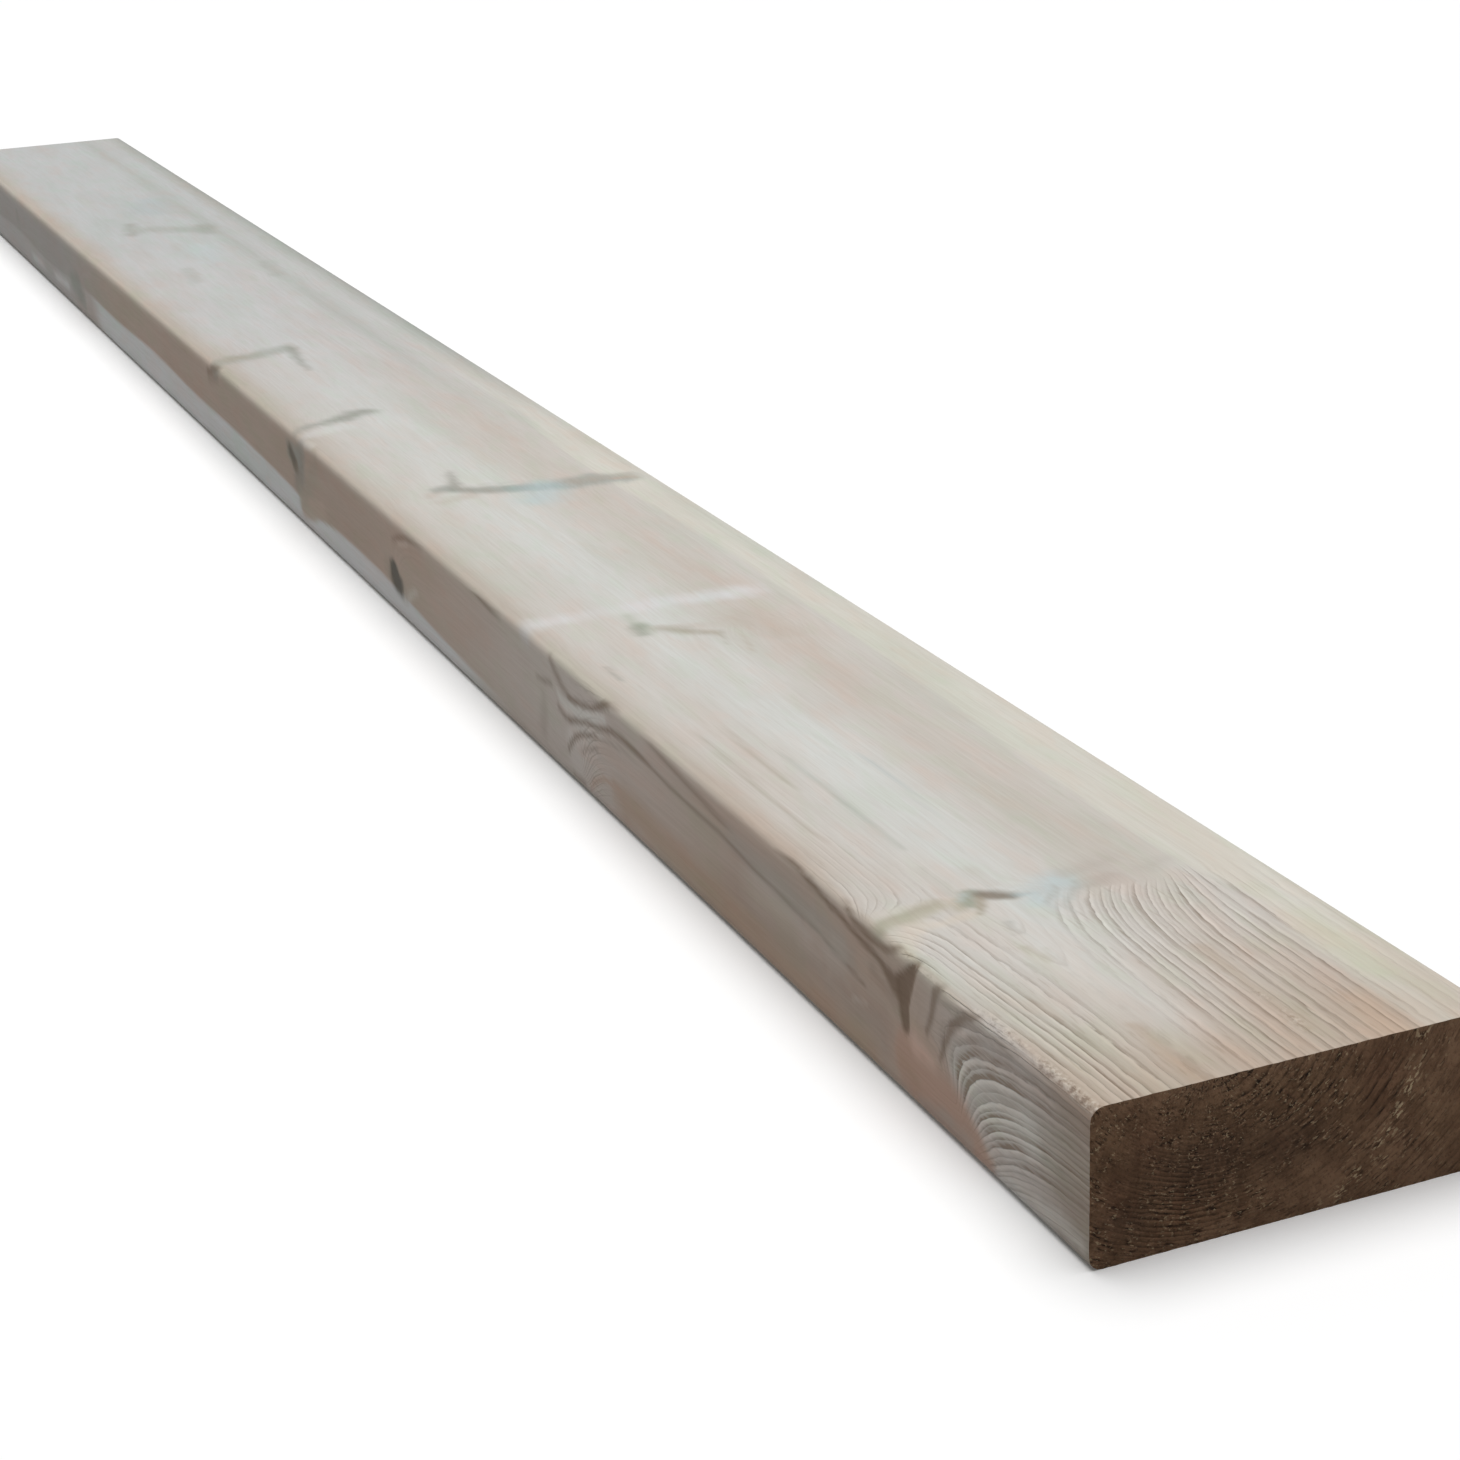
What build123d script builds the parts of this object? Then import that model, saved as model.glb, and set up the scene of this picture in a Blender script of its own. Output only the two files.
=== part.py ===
"""Treated softwood plank, regularised on all four sides.

The plank is one piece of solid timber. It lies flat on its wide face, with
+X along the grain, +Y across its width and +Z up through its thickness. The
origin is on the floor under the middle of the plank.
"""

import os

from build123d import *

# Driving dimensions in millimetres
LENGTH = 1800.0
WIDTH = 125.0
THICKNESS = 47.0
ARRIS_RADIUS = 4.0


def section():
    """The planed section, seen along the grain, with its four arrises eased."""
    with BuildSketch(Plane.YZ) as profile:
        with Locations((0, THICKNESS / 2)):
            RectangleRounded(WIDTH, THICKNESS, ARRIS_RADIUS)
    return profile.sketch


def plank():
    """The section run along the grain and cross-cut square at both ends.

    The easing runs along the grain only, because it is planed before the
    plank is cut to length. The edges of the saw cuts stay sharp.
    """
    return extrude(section(), amount=LENGTH / 2, both=True)


os.makedirs("parts", exist_ok=True)
export_step(plank(), "parts/plank.step")
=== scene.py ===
"""Treated softwood plank, planed on four sides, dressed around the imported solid.

Places on the plank are written in millimetres as a joiner would mark them out: along, from the
shown end; across, from the left-hand edge; up, from the underside.
"""

from collections import namedtuple

import bmesh
import bpy
import numpy as np
from mathutils import Matrix, Vector, noise


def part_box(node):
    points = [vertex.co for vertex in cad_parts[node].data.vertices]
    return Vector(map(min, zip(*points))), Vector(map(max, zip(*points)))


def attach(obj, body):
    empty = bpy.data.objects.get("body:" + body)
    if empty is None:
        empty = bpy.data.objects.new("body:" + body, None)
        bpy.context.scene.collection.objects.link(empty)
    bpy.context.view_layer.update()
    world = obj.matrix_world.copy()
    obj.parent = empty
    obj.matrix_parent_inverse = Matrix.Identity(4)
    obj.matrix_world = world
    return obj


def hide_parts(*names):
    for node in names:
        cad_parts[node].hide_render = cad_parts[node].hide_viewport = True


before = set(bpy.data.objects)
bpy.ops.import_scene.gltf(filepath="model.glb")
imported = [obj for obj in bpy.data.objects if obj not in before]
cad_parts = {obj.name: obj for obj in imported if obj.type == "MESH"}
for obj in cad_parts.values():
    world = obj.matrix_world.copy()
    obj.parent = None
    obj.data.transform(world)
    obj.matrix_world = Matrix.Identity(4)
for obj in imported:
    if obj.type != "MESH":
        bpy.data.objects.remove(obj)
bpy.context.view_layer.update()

# The plank's own sizes, from the frame
MM = 0.001
LOW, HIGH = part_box("plank")
LENGTH, WIDTH, THICKNESS = ((HIGH - LOW) / MM)[:]
ARRIS = 4.0

# Random waver and roughness come out the same in each run
NOISE_SEED = 7
noise.seed_set(NOISE_SEED)

# How finely the surface is cut
COLUMNS = 66
LAYERS = 28
ROWS = 404
ARRIS_STEPS = 4
CLOSE_ROW = 1.2
CLOSE_REACH = 116.0
CLOSE_FADE = 40.0
KNOT_ROW = 1.1
KNOT_ROW_GROWTH = 0.0045
KNOT_REACH = 38.0
KNOT_FADE = 24.0
PLAIN_ROW = 18.0
ROW_SAMPLES = 20001

# Places of many vertices at once
Spot = namedtuple("Spot", "along across up")

# The tree. Each year's ring has a width and a darkness of its late wood
YEARS = (
    (2.9, 0.3), (2.6, 0.35), (3.5, 0.3), (4.2, 0.45), (3.4, 0.5), (5.8, 0.75), (3.3, 0.7), (2.9, 0.8),
    (2.8, 0.5), (4.4, 1.0), (3.5, 0.6), (2.9, 0.45), (3.8, 0.6), (3.9, 1.0), (4.2, 0.55), (3.4, 0.5),
    (3.5, 0.85), (3.8, 0.7), (4.9, 0.8), (3.8, 0.45), (4.0, 0.5), (4.4, 0.5), (3.7, 0.4), (3.4, 0.35),
    (3.6, 0.7), (3.2, 0.5), (3.4, 0.6), (3.6, 0.8), (3.4, 0.5), (3.4, 0.6), (3.4, 0.7), (3.4, 0.6),
)
RING_EDGES = np.concatenate([[0], np.cumsum([width for width, dark in YEARS])])
LATE_WOOD_SHARE = 0.8
LEAN = 0.33
LEAN_BEARING = np.radians(75)
HEART_RADIUS = 66.5
HEART_TAPER = 4.0
HEART_TAPER_REACH = (200, 900)
HEART_WAVE = 1.2
HEART_WAVE_STEP = 37.0
HEART_SQUEEZE = 0.24
HEART_SQUEEZE_BEARING = (28, 46)
HEART_BULGES = ((90, 20, 4.7), (400, 142, 6.0), (745, 26, 3.0), (868, 76, 2.8))
HEART_BLUR = 1.2
PITH_ACROSS = 34.2
PITH_DRIFT = 10.5
PITH_DRIFT_REACH = (250, 1000)
PITH_UP = THICKNESS + 0.4
PITH_CLIMB = 5.6
PITH_CLIMB_REACH = (132, 68)
PITH_WAVE = 0.7
PITH_WAVE_STEPS = (61, 140)
PITH_CALM = (2, 20)
RING_STEP = 3.4


def paint(red, green, blue):
    """A colour given as it looks on screen, as the linear values that a shader takes."""
    share = np.array([red, green, blue]) / 255
    return np.where(share <= 0.04045, share / 12.92, ((share + 0.055) / 1.055) ** 2.4)


# Finishes of the planed faces
BEIGE = paint(206, 202, 196)
BLEACHED = paint(211, 212, 208)
PINK_BROWN = paint(201, 194, 186)
SAPWOOD = paint(214, 211, 201)
GREEN_SAP = paint(204, 204, 184)
GREYED = paint(196, 196, 196)
FAR_GREY = paint(190, 192, 192)
RIM_BROWN = paint(186, 175, 163)
# Painted shade for the right-hand arris of the far part, where it turns from the light
RIGHT_ARRIS_SHADE = paint(128, 128, 126)
# Browner and darker towards the shown end, on the wide face
END_BROWNING = paint(175, 155, 134)
ORANGE = paint(194, 170, 149)
EDGE_BROWN = paint(193, 175, 161)
EDGE_WARM = paint(186, 161, 140)
EDGE_SHADE = paint(160, 145, 134)
# Browner and darker towards the shown end, on both edges
EDGE_END_BROWNING = paint(172, 158, 146)
EDGE_PALE = paint(214, 210, 206)
EDGE_GREY = paint(171, 168, 165)
EDGE_SAP = paint(226, 228, 229)
UNDERSIDE = paint(205, 194, 178)
# Painted highlight: a pale tone for the upper part of the left-hand arris, where it turns to the light
ARRIS_HIGHLIGHT = paint(224, 215, 202)

# Finishes of knots, resin and stains
RED_KNOT = paint(194, 165, 148)
PINK_KNOT = paint(222, 195, 180)
TAN_KNOT = paint(190, 178, 166)
KHAKI = paint(170, 163, 148)
OLIVE = paint(182, 178, 160)
GREY_KNOT = paint(158, 159, 152)
SLATE = paint(172, 175, 169)
DARK_KNOT = paint(126, 116, 102)
BLACK_KNOT = paint(92, 88, 80)
RESIN = paint(130, 110, 93)
SMUDGE = paint(182, 174, 166)
GREEN_GREY = paint(150, 158, 144)
BLUE_GREY = paint(164, 179, 180)
BLUE_WHITE = paint(192, 206, 208)
DRIED_WHITE = paint(216, 216, 216)
CREAM = paint(218, 206, 190)
CLEAN_EDGE = paint(226, 223, 217)

# Finishes of the sawn ends
END_BROWN = paint(128, 100, 76)
END_DARK = paint(91, 69, 53)
END_RED = paint(118, 86, 66)
END_LIGHT = paint(146, 115, 90)
END_FLECK = paint(228, 203, 166)

# Each branch leaves the pith at one place and comes out, or heals over, at another
Branch = namedtuple("Branch", "pith along across up radius lift reach grip colour strength stretch",
                    defaults=[1])
BRANCHES = [
    Branch(131, 124, -4, 47, 7, 3.6, 12, 0.9, CREAM, 0.2, 1.5),
    Branch(130, 84, -4, 7.5, 17, 9.0, 16, 1.0, RED_KNOT, 0.5, 1.5),
    Branch(127, 119, 90, 46, 6, 3.2, 17, 0.3, SMUDGE, 0.25),
    Branch(128, 90, 48, -4, 12, 8.0, 16, 0.8, TAN_KNOT, 0.9),
    Branch(415, 378, -4, 9, 8, 8.0, 15, 0.9, CLEAN_EDGE, 0.2),
    Branch(412, 388, 92, 44, 7, 2.0, 14, 0.3, PINK_BROWN, 0.4),
    Branch(410, 372, 66, -4, 10, 5.0, 14, 0.8, TAN_KNOT, 0.9),
    Branch(640, 609, -4, 17, 6, 5.0, 13, 0.8, BLACK_KNOT, 0.8),
    Branch(640, 614, 114, 46, 5, 2.0, 12, 0.5, SLATE, 0.2),
    Branch(645, 604, 44, -4, 8, 5.0, 14, 0.8, TAN_KNOT, 0.9),
    Branch(803, 776, -6, 34, 7, 4.0, 14, 0.8, GREY_KNOT, 0.5),
    Branch(800, 765, 130, 20, 8, 4.0, 14, 0.8, TAN_KNOT, 0.9),
    Branch(960, 946, -5, 44, 5, 3.0, 12, 0.8, TAN_KNOT, 0.4),
    Branch(955, 921, 58, -4, 8, 4.0, 14, 0.8, TAN_KNOT, 0.9),
    Branch(1195, 1160, 128, 30, 6, 3.0, 12, 0.8, TAN_KNOT, 0.8),
    Branch(1200, 1170, 30, -4, 7, 4.0, 12, 0.8, TAN_KNOT, 0.9),
    Branch(1372, 1340, -5, 17, 9, 4.0, 14, 0.8, GREY_KNOT, 0.4),
    Branch(1600, 1566, 120, -4, 8, 4.0, 14, 0.8, TAN_KNOT, 0.9),
    Branch(1598, 1570, -4, 30, 6, 3.5, 12, 0.8, GREY_KNOT, 0.7),
]

# How a branch swells, sweeps the rings out and heals over, in shares of its length or its radius
BRANCH_ROOT = 0.02
BRANCH_END = 1.3
BRANCH_SWELL = 0.8
KNOT_START = (0, 0.12)
KNOT_RIM = (1.1, 0.7)
KNOT_HEALED = (1.0, 0.85)
SWEEP_START = 0.1
SWEEP_CORE = 0.6
SWEEP_BEHIND = 0.42
SWEEP_TURN = (-0.5, 0.8)
SWEEP_HEALED = (1.25, 0.95)

# A wash of one colour: where it begins and where it is full along the plank, and where it lies across
Wash = namedtuple("Wash", "colour strength begin full across half", defaults=[0, np.inf])
WIDE_WASHES = [
    Wash(PINK_BROWN, 0.9, -20, 0, 84, 15),
    Wash(BLEACHED, 0.9, 10, 70, 42, 11),
    Wash(BLEACHED, 0.8, 120, 200, 50, 12),
    Wash(RIM_BROWN, 0.8, 125, 190, 0, 8),
]
FAR_WASHES = [
    Wash(GREYED, 0.9, 600, 1100),
    Wash(FAR_GREY, 0.9, 1100, 1400),
    Wash(SLATE, 0.2, 380, 440, 121, 5),
    Wash(RIM_BROWN, 0.85, 600, 900, 0, 11),
    Wash(SLATE, 0.5, 700, 1000, 95, 6),
    # Painted shade: a grey band and a dark line along the right-hand arris of the far part, where it turns
    # from the light
    Wash(SLATE, 0.7, 700, 950, 119, 7),
    Wash(RIGHT_ARRIS_SHADE, 0.8, 650, 1000, 125, 3.7),
]
LEFT_WASHES = [
    Wash(EDGE_PALE, 0.8, 110, 45),
    Wash(EDGE_SHADE, 0.34, 520, 760),
    Wash(EDGE_GREY, 0.9, 1180, 1420),
]
LEFT_END_WASHES = [Wash(EDGE_END_BROWNING, 0.95, 44, 3)]
RIGHT_WASHES = [Wash(EDGE_END_BROWNING, 0.5, 60, 0), Wash(GREYED, 0.75, 500, 1400)]

# Sapwood and the other changes of colour on the planed faces
SAP_SHARE = 0.9
SAP_SEEN = (440, 540)
SAP_DIMMED = 0.72
SAP_DIMS = (1262, 1306)
UNDERSIDE_SHARE = 0.85
UNDERSIDE_REACH = (3, 0)
PALE_SHARE = 0.55
PALE_STRETCH = (390, 120)
BROWNED_END = 0.64
BROWNED_END_REACH = (55, 0)
BROWNED_PAST = 0.24
BROWNED_PAST_BEGIN = (0, 45)
BROWNED_PAST_STOP = (88, 55)
CLEAN_STRIP = (46, 9)
CLEAN_STRIP_BEGIN = (10, 40)
CLEAN_STRIP_LOSS = 0.8
SAP_BROWNED_LOSS = 0.5
# Painted highlight on the upper left-hand arris, from past the shown end on, where it turns to the light
ARRIS_LIGHT_REACH = (50, 85)
ARRIS_HIGHLIGHT_SHARE = 0.7
ARRIS_HIGHLIGHT_ACROSS = (0.6, 1.5)
ARRIS_HIGHLIGHT_UP = THICKNESS - 2.0
ARRIS_HIGHLIGHT_HALF = 2.2
ARRIS_HIGHLIGHT_SPREAD = 0.001
EDGE_BEGIN = 0.3
EDGE_END = 2.2
# Painted shade: at the shown end the left-hand edge's darker colour rolls over the arris, where a crisper
# arris would turn from the light
ARRIS_SHADE_ROLL = 0.8

# How plainly ring lines show: on the right and the left of the wide face, on the edges and under stains
FAINT_LINES = 0.07
LEFT_BAND = (40, 26)
END_LINES = (0.8, 0.67)
WHORL_LINES = (0.83, 0.28)
WHORL_BEGIN = (40, 80)
WHORL_STOP = (126, 102)
PAST_LINES = 0.4
PAST_STOP = (230, 120)
BLEACHED_LOSS = 0.6
BLEACHED_STRIP = (40, 9)
BLEACHED_BEGIN = (10, 50)
WORN_LOSS = 0.75
WORN_STRIP = (7, 3)
WORN_STOP = (105, 80)
EDGE_LINES = 1.0
EDGE_LINES_RISE = 1.1
EDGE_RISE = (14, 50)
EDGE_STOP = (98, 80)
EDGE_TURN = (1.4, 0.1)
ARCH_LINES = 0.5
ARCH = (362, 14)
RESIN_LOSS = 0.85
RESIN_STRETCH = (88, 15)
RESIN_UP = (26, 38)
HIDDEN_LINES = 0.5
HIDDEN_UP = (3, 0.5)
SAP_LINES_LOSS = 0.5
STAIN_LOSS = 0.75
SECOND_LINES = 0.35
SECOND_BEGIN = (50, 80)
SECOND_LEFT = (50, 58)
SECOND_RIGHT = (96, 84)
EDGE_SECOND_LINES = 0.55

# Stains and resin, each along a path of places and half widths
Mark = namedtuple("Mark", "colour strength soft sunk path")


def on_top(*rows, sunk=0.0):
    """Marks on the wide face. Each stop is a place along and across, and half the mark's width."""
    return [Mark(*row[:3], sunk, [(along, across, THICKNESS, half) for along, across, half in row[3:]])
            for row in rows]


def on_edge(*rows, sunk=0.0):
    """Marks on the left-hand edge. Each stop is a place along and up, and half the mark's width."""
    return [Mark(*row[:3], sunk, [(along, 0.0, up, half) for along, up, half in row[3:]]) for row in rows]


MARKS = on_top(
    # The shown end on the wide face
    (END_BROWNING, 0.55, 5, (2, 32, 2.5), (36, 33.5, 1.2)),
    (END_BROWNING, 0.3, 7, (-2, 3, 3), (46, 3, 2)),
    (END_BROWNING, 0.45, 6, (14, 73, 2), (70, 74, 2.5)),
    (ORANGE, 0.5, 12, (-2, 91, 6), (22, 94, 4)),
    (OLIVE, 0.5, 3, (80, 33.2, 0.5), (91, 30.8, 1.4)),
    (OLIVE, 0.35, 3, (80, 33.6, 0.5), (88, 36, 0.8)),
    (GREY_KNOT, 0.4, 2.5, (100, 33, 0.5), (108, 35, 1.2)),
    (GREEN_SAP, 0.7, 9, (34, 109, 4), (58, 111, 5), (74, 112, 3)),
    (OLIVE, 0.5, 6, (44, 123, 2), (76, 123, 2.4), (112, 124, 1.6)),
    # The first whorl on the wide face
    (CREAM, 0.5, 6, (104, 0, 3), (113, 5, 4), (119, 11, 4)),
    (CREAM, 0.45, 5, (116, 16, 2), (118, 28, 2)),
    (OLIVE, 0.85, 6, (123, -1, 3.2), (124, 10, 3.8), (128.5, 22, 3.6)),
    (KHAKI, 0.4, 3, (125, 3, 1), (127, 13, 1.4), (131, 24, 1.2)),
    (OLIVE, 0.8, 5, (122.5, 27, 2), (128, 30, 2.6)),
    (GREEN_GREY, 0.75, 4, (124.5, 31, 2.2), (131, 34.4, 3.4)),
    (BLUE_WHITE, 0.45, 2, (128, 29.8, 1), (131.5, 32.6, 1.2)),
    (KHAKI, 0.9, 2.4, (117, 30.8, 0.8), (122.5, 33.6, 1.6), (128.5, 36.8, 1.4)),
) + on_top(
    (DARK_KNOT, 0.85, 4, (130, 37.5, 2), (127.5, 40.5, 3), (124.5, 44.5, 2.2)),
    sunk=0.3,
) + on_top(
    (BLUE_GREY, 0.6, 3, (124.5, 46, 1.4), (122, 52, 1)),
    (BLUE_WHITE, 0.85, 12, (118, 52, 5), (127, 61, 6)),
    (SLATE, 0.55, 2.2, (106, 50, 0.5), (115.6, 51.9, 0.9), (119, 55.5, 1), (122.4, 58.8, 0.9),
     (126, 60, 0.5)),
    (SLATE, 0.55, 2.2, (104, 55, 0.5), (112, 56.6, 0.9), (116, 60, 1), (121, 64.4, 0.9), (125, 66, 0.5)),
    (SMUDGE, 0.6, 8, (121, 68, 2.6), (124, 79, 3)),
    (SMUDGE, 0.5, 10, (131, 68, 4), (134, 84, 5)),
    (PINK_BROWN, 0.6, 16, (116, 88, 6), (158, 90, 6)),
    (SMUDGE, 0.35, 8, (124, 90, 3), (127, 99, 2)),
    (TAN_KNOT, 0.35, 6, (134, 43, 2), (147, 42, 2)),
    (PINK_BROWN, 0.5, 10, (136, 6, 4), (150, 16, 6), (160, 22, 4)),
    (GREEN_GREY, 0.22, 4, (134, 30, 1.4), (155, 30, 0.8)),
    (GREEN_GREY, 0.45, 2.6, (170, 31.8, 0.5), (190, 32.4, 1), (226, 32.6, 1), (264, 32.8, 0.6)),
    (KHAKI, 0.5, 2, (186, 12.7, 0.4), (232, 13, 1), (262, 13.8, 1), (288, 14.6, 0.7)),
    (KHAKI, 0.5, 2, (229, 23.2, 0.6), (258, 23.6, 1), (290, 24.6, 0.8)),
    (BLUE_GREY, 0.4, 2, (186, 54, 0.4), (252, 56, 0.5)),
) + on_edge(
    # The shown end and the first whorl on the left-hand edge
    (EDGE_SHADE, 0.4, 14, (120, 16, 7), (235, 17, 6)),
    (RESIN, 0.35, 7, (-2, 42, 4), (30, 43, 3), (50, 43, 2)),
    (RESIN, 0.4, 2, (38, 44, 0.5), (54, 42, 0.9), (66, 36.5, 1), (74, 28, 0.9), (77, 23.5, 0.5)),
    (EDGE_SHADE, 0.4, 9, (-2, 17, 5), (14, 17, 4)),
    (CLEAN_EDGE, 0.6, 6, (4, 6, 2.5), (20, 6, 3), (46, 3, 2.5)),
    (CLEAN_EDGE, 0.85, 10, (34, 24, 7), (56, 24, 10), (70, 27, 6)),
    (RED_KNOT, 0.85, 5, (54, 4, 2.5), (70, 8, 7), (90, 12, 10), (104, 13, 8)),
    (PINK_KNOT, 0.75, 6, (88, 20, 2.5), (98, 21, 3.5)),
    (SMUDGE, 0.6, 6, (66, 4, 1.6), (82, 6, 2.6), (96, 3, 1.6)),
    (EDGE_WARM, 0.6, 5, (98, 9, 2.5), (108, 12, 2)),
    (RESIN, 0.7, 2.2, (58, 46.5, 0.8), (68, 42.5, 1.7), (75, 36.5, 1.9), (80, 29, 1.5), (83, 23, 0.9)),
    (RESIN, 0.65, 2.2, (81, 46.5, 1), (85.5, 42, 1.9), (88, 35, 1.6), (91, 27.5, 1)),
) + on_edge(
    (RESIN, 0.95, 2, (97.5, 46.5, 1.6), (101, 41, 2.8), (105.5, 35.5, 4.6), (106, 30, 3.2),
     (105, 23.5, 2.6)),
    sunk=0.4,
) + on_edge(
    (RESIN, 0.9, 2.4, (107, 34, 4.4), (112, 34, 3), (121, 37, 1.2), (146, 40.4, 1), (192, 45.5, 0.9)),
    sunk=0.2,
) + on_edge(
    (RESIN, 0.75, 2.4, (108, 46.5, 0.9), (116, 43, 1.2), (126, 41.8, 1.5), (138, 43, 1.2),
     (148, 46.4, 0.9)),
    (RESIN, 0.45, 2, (118, 46.6, 0.6), (128, 44.8, 0.8), (138, 46.4, 0.6)),
    (RESIN, 0.3, 6, (108, 29, 3), (126, 32, 2)),
    (CLEAN_EDGE, 0.45, 2, (131, 19.5, 0.4), (140, 17, 0.6)),
    (EDGE_GREY, 0.4, 10, (142, 30, 3), (170, 32, 5), (235, 34, 3)),
    (RESIN, 0.6, 2, (131, 24.8, 0.5), (166, 29, 0.9), (204, 30.4, 0.9), (242, 32.8, 0.9),
     (284, 33.8, 0.8), (316, 35.6, 1)),
    (RESIN, 0.6, 3, (236, 37.4, 0.5), (262, 40, 1.2), (296, 42.8, 1.1), (314, 45.4, 0.6)),
    (EDGE_WARM, 0.75, 12, (126, 4, 4), (180, 6, 5), (250, 9, 7), (335, 11, 5)),
    (CLEAN_EDGE, 0.25, 14, (150, 26, 5), (215, 26, 5)),
) + on_top(
    # The second whorl on the wide face, and the pale mark of a drying batten
    (GREY_KNOT, 0.75, 2.4, (357, 11.2, 0.7), (373, 11.6, 0.7)),
    (GREEN_GREY, 0.75, 8, (403, 38, 3), (411, 39.4, 4)),
    (GREEN_GREY, 0.4, 7, (411, 39.5, 2), (427, 39.5, 1)),
    (KHAKI, 0.75, 7, (404, 46, 2.6), (398, 53, 3.8), (390, 62, 2)),
    (TAN_KNOT, 0.65, 2, (361, 64.8, 0.5), (374, 68.4, 0.8), (388, 70.5, 0.5)),
    (KHAKI, 0.5, 2, (375, 61, 0.4), (387, 62.4, 0.6)),
    (TAN_KNOT, 0.45, 16, (378, 84, 7), (404, 78, 9)),
    (DRIED_WHITE, 0.7, 10, (433, 1, 6), (434, 16, 5)),
    (DRIED_WHITE, 0.5, 10, (434, 16, 5), (435, 48, 5)),
    (DRIED_WHITE, 0.9, 11, (435, 48, 6), (432, 92, 6.5)),
) + on_edge(
    # The second whorl on the left-hand edge
    (CLEAN_EDGE, 0.6, 10, (350, 34, 3), (368, 28, 7), (382, 22, 5)),
    (CLEAN_EDGE, 0.9, 4, (346, 38, 1.4), (360, 34, 2), (376, 31, 2.4), (388, 29.4, 2), (396, 31.5, 1.2)),
    (RESIN, 0.8, 2.2, (338, 45.8, 0.6), (346, 43.2, 1.6), (353, 40, 1.3), (361, 36.8, 1.1),
     (372, 35.2, 1), (384, 33.6, 1.2)),
    (RESIN, 0.6, 4.5, (383, 33.8, 0.9), (389, 35, 1.2), (396, 38.5, 1.8), (404, 43.5, 1.6)),
    (RESIN, 0.75, 2.2, (314, 35.6, 1), (330, 36, 1.2), (340, 35, 1.2), (348, 33.2, 1.2), (357, 31.2, 1.1),
     (368, 29.3, 1.1), (376, 27.2, 1.2), (384, 24.8, 1.3)),
    (RESIN, 0.65, 3, (384, 24.8, 1.2), (390, 24.4, 1.4), (397, 27, 0.8)),
    (RESIN, 0.35, 2, (328, 32.4, 0.4), (345, 29.6, 0.6), (358, 27.2, 0.6)),
    (RESIN, 0.8, 2, (356, 27.6, 0.5), (366, 25, 1), (373, 22.6, 1.1), (379, 19.8, 1.2), (384, 16, 1.2),
     (388, 11.5, 0.9)),
    (CLEAN_EDGE, 0.5, 2, (362, 24, 0.4), (371, 21, 0.7), (378, 17.8, 0.5)),
    (RESIN, 0.55, 2, (355, 23, 0.5), (362, 20.8, 0.7), (368, 18.3, 0.7), (371.5, 16.2, 0.5)),
    (CLEAN_EDGE, 0.45, 2, (357, 21, 0.4), (366, 17.2, 0.6), (371, 13.6, 0.4)),
    (RED_KNOT, 0.8, 2, (338, 14.8, 0.7), (348, 13.5, 0.9), (356, 11, 1), (361, 8.3, 1), (364, 4.5, 0.9)),
    (RESIN, 0.5, 4, (371, 3.5, 1.2), (383, 4, 1.4)),
    (RESIN, 0.6, 3, (403, 33.5, 0.7), (411, 32, 1.2), (420, 31, 0.7)),
    (RESIN, 0.25, 9, (413, 24, 2), (416, 12, 4)),
    (RESIN, 0.65, 2.4, (462, 41.3, 0.6), (480, 42.3, 1.2), (500, 43.8, 0.7)),
) + on_top(
    # The third whorl
    (TAN_KNOT, 0.6, 7, (628, 23, 2), (634, 31, 3)),
    (TAN_KNOT, 0.5, 9, (617, 26, 3), (621, 40, 4)),
    (SLATE, 1.0, 9, (636, 33, 4.4), (628, 45, 4.6), (622, 57, 6), (618, 70, 5.5)),
    (SLATE, 1.0, 10, (617, 74, 6), (616, 86, 9.5), (617, 97, 9.5), (613, 110, 7)),
    (TAN_KNOT, 0.45, 8, (618, 88, 4), (617, 112, 4)),
    (GREY_KNOT, 0.55, 10, (636, 32, 4), (624, 52, 4), (619, 68, 4)),
    (GREY_KNOT, 0.4, 8, (617, 84, 5), (616, 100, 5)),
    (GREY_KNOT, 0.8, 6, (634, 37, 3.4), (645, 40, 2.8), (664, 43.5, 0.8)),
    (BLUE_WHITE, 0.75, 18, (600, 66, 9), (616, 74, 9)),
    (BLUE_GREY, 0.55, 9, (620, 60, 4), (616, 78, 4)),
    (RED_KNOT, 0.55, 5, (613, 107, 1.6), (612, 115, 1.6)),
) + on_edge(
    (RESIN, 0.6, 2.4, (574, 42.5, 0.7), (592, 41, 1.1), (603, 38.5, 1.1), (611, 35, 0.6)),
    (CLEAN_EDGE, 0.45, 3, (588, 38.5, 0.6), (602, 35.5, 0.8)),
    (CLEAN_EDGE, 0.55, 4, (578, 20, 1), (590, 15, 2), (600, 10, 1.4)),
    (KHAKI, 0.5, 7, (596, 14, 4), (622, 20, 5)),
) + on_edge(
    (BLACK_KNOT, 0.95, 5, (605, 15.5, 5.5), (612, 18.5, 7)),
    sunk=0.3,
) + on_top(
    # The fourth and fifth whorls
    (DRIED_WHITE, 0.5, 9, (764, 4, 5), (772, 22, 7)),
    (GREY_KNOT, 0.95, 11, (777, 3, 2.4), (786, 24, 4.6), (795, 41, 6)),
) + on_edge(
    (EDGE_BROWN, 0.9, 4, (730, 18, 4), (752, 13, 6), (768, 10, 5)),
    (KHAKI, 0.55, 9, (738, 38, 4), (752, 26, 6), (768, 14, 4)),
    (GREY_KNOT, 0.75, 9, (764, 38, 6), (769, 30, 8), (775, 21, 6)),
    (DARK_KNOT, 0.35, 10, (768, 34, 5), (775, 20, 5)),
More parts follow.
